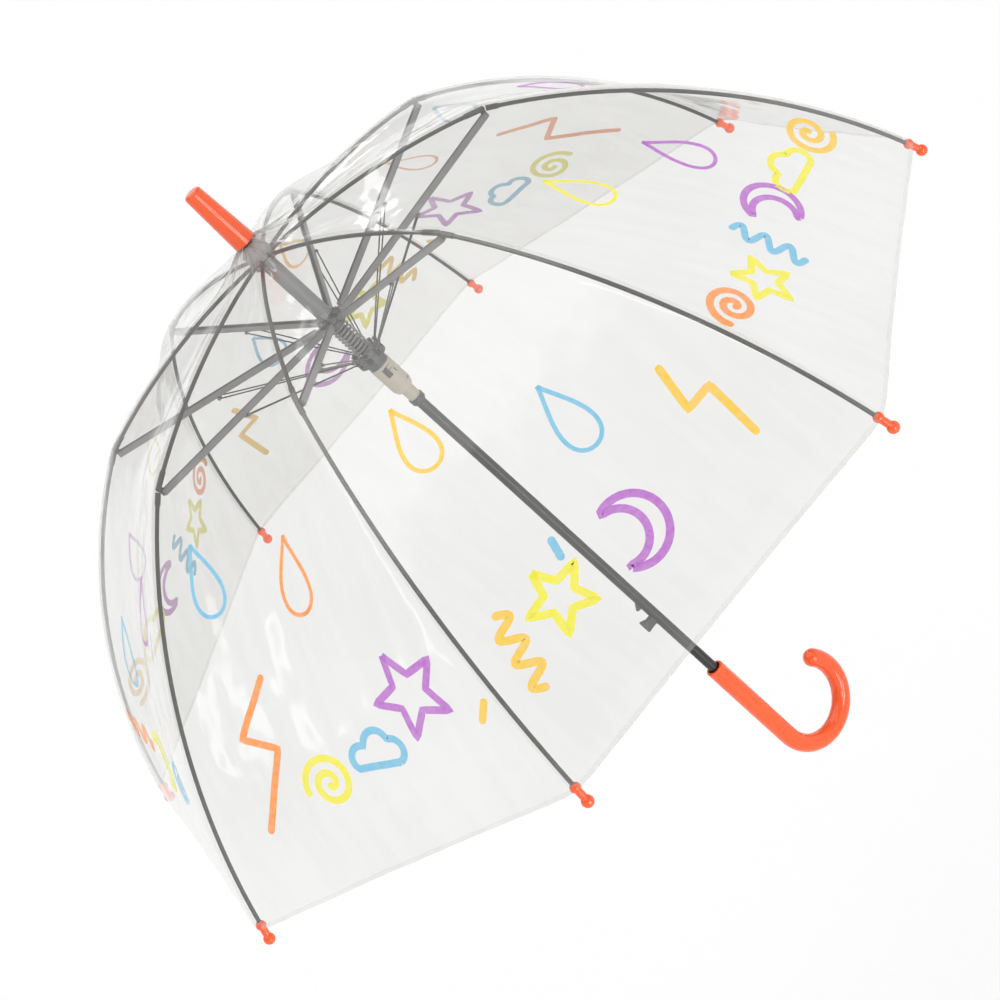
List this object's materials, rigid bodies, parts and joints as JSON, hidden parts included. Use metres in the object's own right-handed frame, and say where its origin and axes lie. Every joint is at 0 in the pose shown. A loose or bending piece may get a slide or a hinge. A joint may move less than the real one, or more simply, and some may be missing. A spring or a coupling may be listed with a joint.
{
  "type": "children's umbrella",
  "caption": "Dome umbrella for a child: clear film canopy on folding ribs, stretchers and wire links, a runner on a slim shaft, a ferrule and a hooked handle.",
  "frame": {"origin": "middle of the hand grip, on the shaft's axis", "axes": "+Z along the shaft from the grip towards the ferrule; +X in the plane of rib 1; the umbrella is open"},
  "size_m": [0.736, 0.736, 0.6653],
  "materials": {
    "orange_plastic": "glossy moulded plastic",
    "clear_film": "clear soft film, slightly milky, printed with coloured outlines",
    "black_steel": "satin black paint",
    "spring_steel": "drawn wire",
    "dark_plastic": "matt moulded plastic",
    "pale_plastic": "matt moulded plastic",
    "grey_plastic": "matt moulded plastic"
  },
  "bodies": {
    "shaft_and_handle": {"shaft_tube": "black_steel", "handle": "orange_plastic", "ferrule": "orange_plastic", "crown_notch": "dark_plastic", "top_sleeve": "grey_plastic"},
    "rib_inner_1": {"inner_rib_1": "black_steel"},
    "rib_outer_1": {"outer_rib_1": "black_steel", "rib_tip_1": "orange_plastic", "canopy_panel_1": "clear_film"},
    "stretcher_arm_1": {"stretcher_1": "black_steel"},
    "wire_link_1": {"link_1": "black_steel"},
    "rib_inner_2": {"inner_rib_2": "black_steel"},
    "rib_outer_2": {"outer_rib_2": "black_steel", "rib_tip_2": "orange_plastic", "canopy_panel_2": "clear_film"},
    "stretcher_arm_2": {"stretcher_2": "black_steel"},
    "wire_link_2": {"link_2": "black_steel"},
    "rib_inner_3": {"inner_rib_3": "black_steel"},
    "rib_outer_3": {"outer_rib_3": "black_steel", "rib_tip_3": "orange_plastic", "canopy_panel_3": "clear_film"},
    "stretcher_arm_3": {"stretcher_3": "black_steel"},
    "wire_link_3": {"link_3": "black_steel"},
    "rib_inner_4": {"inner_rib_4": "black_steel"},
    "rib_outer_4": {"outer_rib_4": "black_steel", "rib_tip_4": "orange_plastic", "canopy_panel_4": "clear_film"},
    "stretcher_arm_4": {"stretcher_4": "black_steel"},
    "wire_link_4": {"link_4": "black_steel"},
    "rib_inner_5": {"inner_rib_5": "black_steel"},
    "rib_outer_5": {"outer_rib_5": "black_steel", "rib_tip_5": "orange_plastic", "canopy_panel_5": "clear_film"},
    "stretcher_arm_5": {"stretcher_5": "black_steel"},
    "wire_link_5": {"link_5": "black_steel"},
    "rib_inner_6": {"inner_rib_6": "black_steel"},
    "rib_outer_6": {"outer_rib_6": "black_steel", "rib_tip_6": "orange_plastic", "canopy_panel_6": "clear_film"},
    "stretcher_arm_6": {"stretcher_6": "black_steel"},
    "wire_link_6": {"link_6": "black_steel"},
    "rib_inner_7": {"inner_rib_7": "black_steel"},
    "rib_outer_7": {"outer_rib_7": "black_steel", "rib_tip_7": "orange_plastic", "canopy_panel_7": "clear_film"},
    "stretcher_arm_7": {"stretcher_7": "black_steel"},
    "wire_link_7": {"link_7": "black_steel"},
    "rib_inner_8": {"inner_rib_8": "black_steel"},
    "rib_outer_8": {"outer_rib_8": "black_steel", "rib_tip_8": "orange_plastic", "canopy_panel_8": "clear_film"},
    "stretcher_arm_8": {"stretcher_8": "black_steel"},
    "wire_link_8": {"link_8": "black_steel"},
    "hub": {"stretcher_hub": "dark_plastic", "opening_spring": "spring_steel"},
    "runner": {"runner_cup": "dark_plastic", "runner_sleeve": "pale_plastic", "runner_collar": "dark_plastic"},
    "catch_and_button": {"catch": "spring_steel", "release_button": "dark_plastic"}
  },
  "joints": [
    {"name": "rib_fold_1", "type": "hinge", "parent": "shaft_and_handle", "child": "rib_inner_1", "pos_m": [0.0075, 0, 0.515], "axis": [0, 1, 0], "range_deg": [0, 78.86], "stiffness_Nm_per_rad": 1.2, "springref_deg": -57.3},
    {"name": "stretcher_fold_1", "type": "hinge", "parent": "rib_inner_1", "child": "stretcher_arm_1", "pos_m": [0.1725, 0, 0.4825], "axis": [0, 1, 0], "range_deg": [-158.21, 0.5]},
    {"name": "rib_bend_1", "type": "hinge", "parent": "rib_inner_1", "child": "rib_outer_1", "pos_m": [0.17413, 0, 0.48723], "axis": [0, 1, 0], "range_deg": [-39.6, 0.5], "deforming": ["canopy_panel_1"]},
    {"name": "link_fold_1", "type": "hinge", "parent": "stretcher_arm_1", "child": "wire_link_1", "pos_m": [0.0944, 0, 0.46416], "axis": [0, 1, 0], "range_deg": [-0.5, 19.18]},
    {"name": "rib_fold_2", "type": "hinge", "parent": "shaft_and_handle", "child": "rib_inner_2", "pos_m": [0.0053, -0.0053, 0.515], "axis": [0.7071, 0.7071, 0], "range_deg": [-0.5, 79.36]},
    {"name": "stretcher_fold_2", "type": "hinge", "parent": "rib_inner_2", "child": "stretcher_arm_2", "pos_m": [0.12198, -0.12198, 0.4825], "axis": [0.7071, 0.7071, 0], "range_deg": [-158.21, 0.5]},
    {"name": "rib_bend_2", "type": "hinge", "parent": "rib_inner_2", "child": "rib_outer_2", "pos_m": [0.12313, -0.12313, 0.48723], "axis": [0.7071, 0.7071, 0], "range_deg": [-39.6, 0.5], "deforming": ["canopy_panel_2"]},
    {"name": "link_fold_2", "type": "hinge", "parent": "stretcher_arm_2", "child": "wire_link_2", "pos_m": [0.06675, -0.06675, 0.46416], "axis": [0.7071, 0.7071, 0], "range_deg": [-0.5, 19.18]},
    {"name": "rib_fold_3", "type": "hinge", "parent": "shaft_and_handle", "child": "rib_inner_3", "pos_m": [0, -0.0075, 0.515], "axis": [1, 0, 0], "range_deg": [-0.5, 79.36]},
    {"name": "stretcher_fold_3", "type": "hinge", "parent": "rib_inner_3", "child": "stretcher_arm_3", "pos_m": [0, -0.1725, 0.4825], "axis": [1, 0, 0], "range_deg": [-158.21, 0.5]},
    {"name": "rib_bend_3", "type": "hinge", "parent": "rib_inner_3", "child": "rib_outer_3", "pos_m": [0, -0.17413, 0.48723], "axis": [1, 0, 0], "range_deg": [-39.6, 0.5], "deforming": ["canopy_panel_3"]},
    {"name": "link_fold_3", "type": "hinge", "parent": "stretcher_arm_3", "child": "wire_link_3", "pos_m": [0, -0.0944, 0.46416], "axis": [1, 0, 0], "range_deg": [-0.5, 19.18]},
    {"name": "rib_fold_4", "type": "hinge", "parent": "shaft_and_handle", "child": "rib_inner_4", "pos_m": [-0.0053, -0.0053, 0.515], "axis": [0.7071, -0.7071, 0], "range_deg": [-0.5, 79.36]},
    {"name": "stretcher_fold_4", "type": "hinge", "parent": "rib_inner_4", "child": "stretcher_arm_4", "pos_m": [-0.12198, -0.12198, 0.4825], "axis": [0.7071, -0.7071, 0], "range_deg": [-158.21, 0.5]},
    {"name": "rib_bend_4", "type": "hinge", "parent": "rib_inner_4", "child": "rib_outer_4", "pos_m": [-0.12313, -0.12313, 0.48723], "axis": [0.7071, -0.7071, 0], "range_deg": [-39.6, 0.5], "deforming": ["canopy_panel_4"]},
    {"name": "link_fold_4", "type": "hinge", "parent": "stretcher_arm_4", "child": "wire_link_4", "pos_m": [-0.06675, -0.06675, 0.46416], "axis": [0.7071, -0.7071, 0], "range_deg": [-0.5, 19.18]},
    {"name": "rib_fold_5", "type": "hinge", "parent": "shaft_and_handle", "child": "rib_inner_5", "pos_m": [-0.0075, 0, 0.515], "axis": [0, -1, 0], "range_deg": [-0.5, 79.36]},
    {"name": "stretcher_fold_5", "type": "hinge", "parent": "rib_inner_5", "child": "stretcher_arm_5", "pos_m": [-0.1725, 0, 0.4825], "axis": [0, -1, 0], "range_deg": [-158.21, 0.5]},
    {"name": "rib_bend_5", "type": "hinge", "parent": "rib_inner_5", "child": "rib_outer_5", "pos_m": [-0.17413, 0, 0.48723], "axis": [0, -1, 0], "range_deg": [-39.6, 0.5], "deforming": ["canopy_panel_5"]},
    {"name": "link_fold_5", "type": "hinge", "parent": "stretcher_arm_5", "child": "wire_link_5", "pos_m": [-0.0944, 0, 0.46416], "axis": [0, -1, 0], "range_deg": [-0.5, 19.18]},
    {"name": "rib_fold_6", "type": "hinge", "parent": "shaft_and_handle", "child": "rib_inner_6", "pos_m": [-0.0053, 0.0053, 0.515], "axis": [-0.7071, -0.7071, 0], "range_deg": [-0.5, 79.36]},
    {"name": "stretcher_fold_6", "type": "hinge", "parent": "rib_inner_6", "child": "stretcher_arm_6", "pos_m": [-0.12198, 0.12198, 0.4825], "axis": [-0.7071, -0.7071, 0], "range_deg": [-158.21, 0.5]},
    {"name": "rib_bend_6", "type": "hinge", "parent": "rib_inner_6", "child": "rib_outer_6", "pos_m": [-0.12313, 0.12313, 0.48723], "axis": [-0.7071, -0.7071, 0], "range_deg": [-39.6, 0.5], "deforming": ["canopy_panel_6"]},
    {"name": "link_fold_6", "type": "hinge", "parent": "stretcher_arm_6", "child": "wire_link_6", "pos_m": [-0.06675, 0.06675, 0.46416], "axis": [-0.7071, -0.7071, 0], "range_deg": [-0.5, 19.18]},
    {"name": "rib_fold_7", "type": "hinge", "parent": "shaft_and_handle", "child": "rib_inner_7", "pos_m": [0, 0.0075, 0.515], "axis": [-1, 0, 0], "range_deg": [-0.5, 79.36]},
    {"name": "stretcher_fold_7", "type": "hinge", "parent": "rib_inner_7", "child": "stretcher_arm_7", "pos_m": [0, 0.1725, 0.4825], "axis": [-1, 0, 0], "range_deg": [-158.21, 0.5]},
    {"name": "rib_bend_7", "type": "hinge", "parent": "rib_inner_7", "child": "rib_outer_7", "pos_m": [0, 0.17413, 0.48723], "axis": [-1, 0, 0], "range_deg": [-39.6, 0.5], "deforming": ["canopy_panel_7"]},
    {"name": "link_fold_7", "type": "hinge", "parent": "stretcher_arm_7", "child": "wire_link_7", "pos_m": [0, 0.0944, 0.46416], "axis": [-1, 0, 0], "range_deg": [-0.5, 19.18]},
    {"name": "rib_fold_8", "type": "hinge", "parent": "shaft_and_handle", "child": "rib_inner_8", "pos_m": [0.0053, 0.0053, 0.515], "axis": [-0.7071, 0.7071, 0], "range_deg": [-0.5, 79.36]},
    {"name": "stretcher_fold_8", "type": "hinge", "parent": "rib_inner_8", "child": "stretcher_arm_8", "pos_m": [0.12198, 0.12198, 0.4825], "axis": [-0.7071, 0.7071, 0], "range_deg": [-158.21, 0.5]},
    {"name": "rib_bend_8", "type": "hinge", "parent": "rib_inner_8", "child": "rib_outer_8", "pos_m": [0.12313, 0.12313, 0.48723], "axis": [-0.7071, 0.7071, 0], "range_deg": [-39.6, 0.5], "deforming": ["canopy_panel_8"]},
    {"name": "link_fold_8", "type": "hinge", "parent": "stretcher_arm_8", "child": "wire_link_8", "pos_m": [0.06675, 0.06675, 0.46416], "axis": [-0.7071, 0.7071, 0], "range_deg": [-0.5, 19.18]},
    {"name": "hub_upright", "type": "hinge", "parent": "stretcher_arm_1", "child": "hub", "pos_m": [0.0075, 0, 0.45], "axis": [0, 1, 0], "range_deg": [-0.5, 79.36]},
    {"name": "runner_slide", "type": "slide", "parent": "hub", "child": "runner", "axis": [0, 0, 1], "range_m": [-0.0005, 0.02567], "deforming": ["opening_spring"]},
    {"name": "catch_press", "type": "slide", "parent": "shaft_and_handle", "child": "catch_and_button", "axis": [0.9511, 0.309, 0], "range_m": [0, 0.0036], "stiffness_N_per_m": 600, "springref_m": -0.002}
  ],
  "couplings": [
    {"joint": "stretcher_fold_1", "follows": "rib_fold_1", "ratio": -2},
    {"joint": "rib_bend_1", "follows": "rib_fold_1", "ratio": -0.49582},
    {"joint": "link_fold_1", "follows": "rib_fold_1", "ratio": 0.23694},
    {"joint": "rib_fold_2", "follows": "rib_fold_1", "ratio": 1},
    {"joint": "stretcher_fold_2", "follows": "rib_fold_1", "ratio": -2},
    {"joint": "rib_bend_2", "follows": "rib_fold_1", "ratio": -0.49582},
    {"joint": "link_fold_2", "follows": "rib_fold_1", "ratio": 0.23694},
    {"joint": "rib_fold_3", "follows": "rib_fold_1", "ratio": 1},
    {"joint": "stretcher_fold_3", "follows": "rib_fold_1", "ratio": -2},
    {"joint": "rib_bend_3", "follows": "rib_fold_1", "ratio": -0.49582},
    {"joint": "link_fold_3", "follows": "rib_fold_1", "ratio": 0.23694},
    {"joint": "rib_fold_4", "follows": "rib_fold_1", "ratio": 1},
    {"joint": "stretcher_fold_4", "follows": "rib_fold_1", "ratio": -2},
    {"joint": "rib_bend_4", "follows": "rib_fold_1", "ratio": -0.49582},
    {"joint": "link_fold_4", "follows": "rib_fold_1", "ratio": 0.23694},
    {"joint": "rib_fold_5", "follows": "rib_fold_1", "ratio": 1},
    {"joint": "stretcher_fold_5", "follows": "rib_fold_1", "ratio": -2},
    {"joint": "rib_bend_5", "follows": "rib_fold_1", "ratio": -0.49582},
    {"joint": "link_fold_5", "follows": "rib_fold_1", "ratio": 0.23694},
    {"joint": "rib_fold_6", "follows": "rib_fold_1", "ratio": 1},
    {"joint": "stretcher_fold_6", "follows": "rib_fold_1", "ratio": -2},
    {"joint": "rib_bend_6", "follows": "rib_fold_1", "ratio": -0.49582},
    {"joint": "link_fold_6", "follows": "rib_fold_1", "ratio": 0.23694},
    {"joint": "rib_fold_7", "follows": "rib_fold_1", "ratio": 1},
    {"joint": "stretcher_fold_7", "follows": "rib_fold_1", "ratio": -2},
    {"joint": "rib_bend_7", "follows": "rib_fold_1", "ratio": -0.49582},
    {"joint": "link_fold_7", "follows": "rib_fold_1", "ratio": 0.23694},
    {"joint": "rib_fold_8", "follows": "rib_fold_1", "ratio": 1},
    {"joint": "stretcher_fold_8", "follows": "rib_fold_1", "ratio": -2},
    {"joint": "rib_bend_8", "follows": "rib_fold_1", "ratio": -0.49582},
    {"joint": "link_fold_8", "follows": "rib_fold_1", "ratio": 0.23694},
    {"joint": "hub_upright", "follows": "rib_fold_1", "ratio": 1},
    {"joint": "runner_slide", "follows": "rib_fold_1", "m_per_rad": 0.018289}
  ]
}
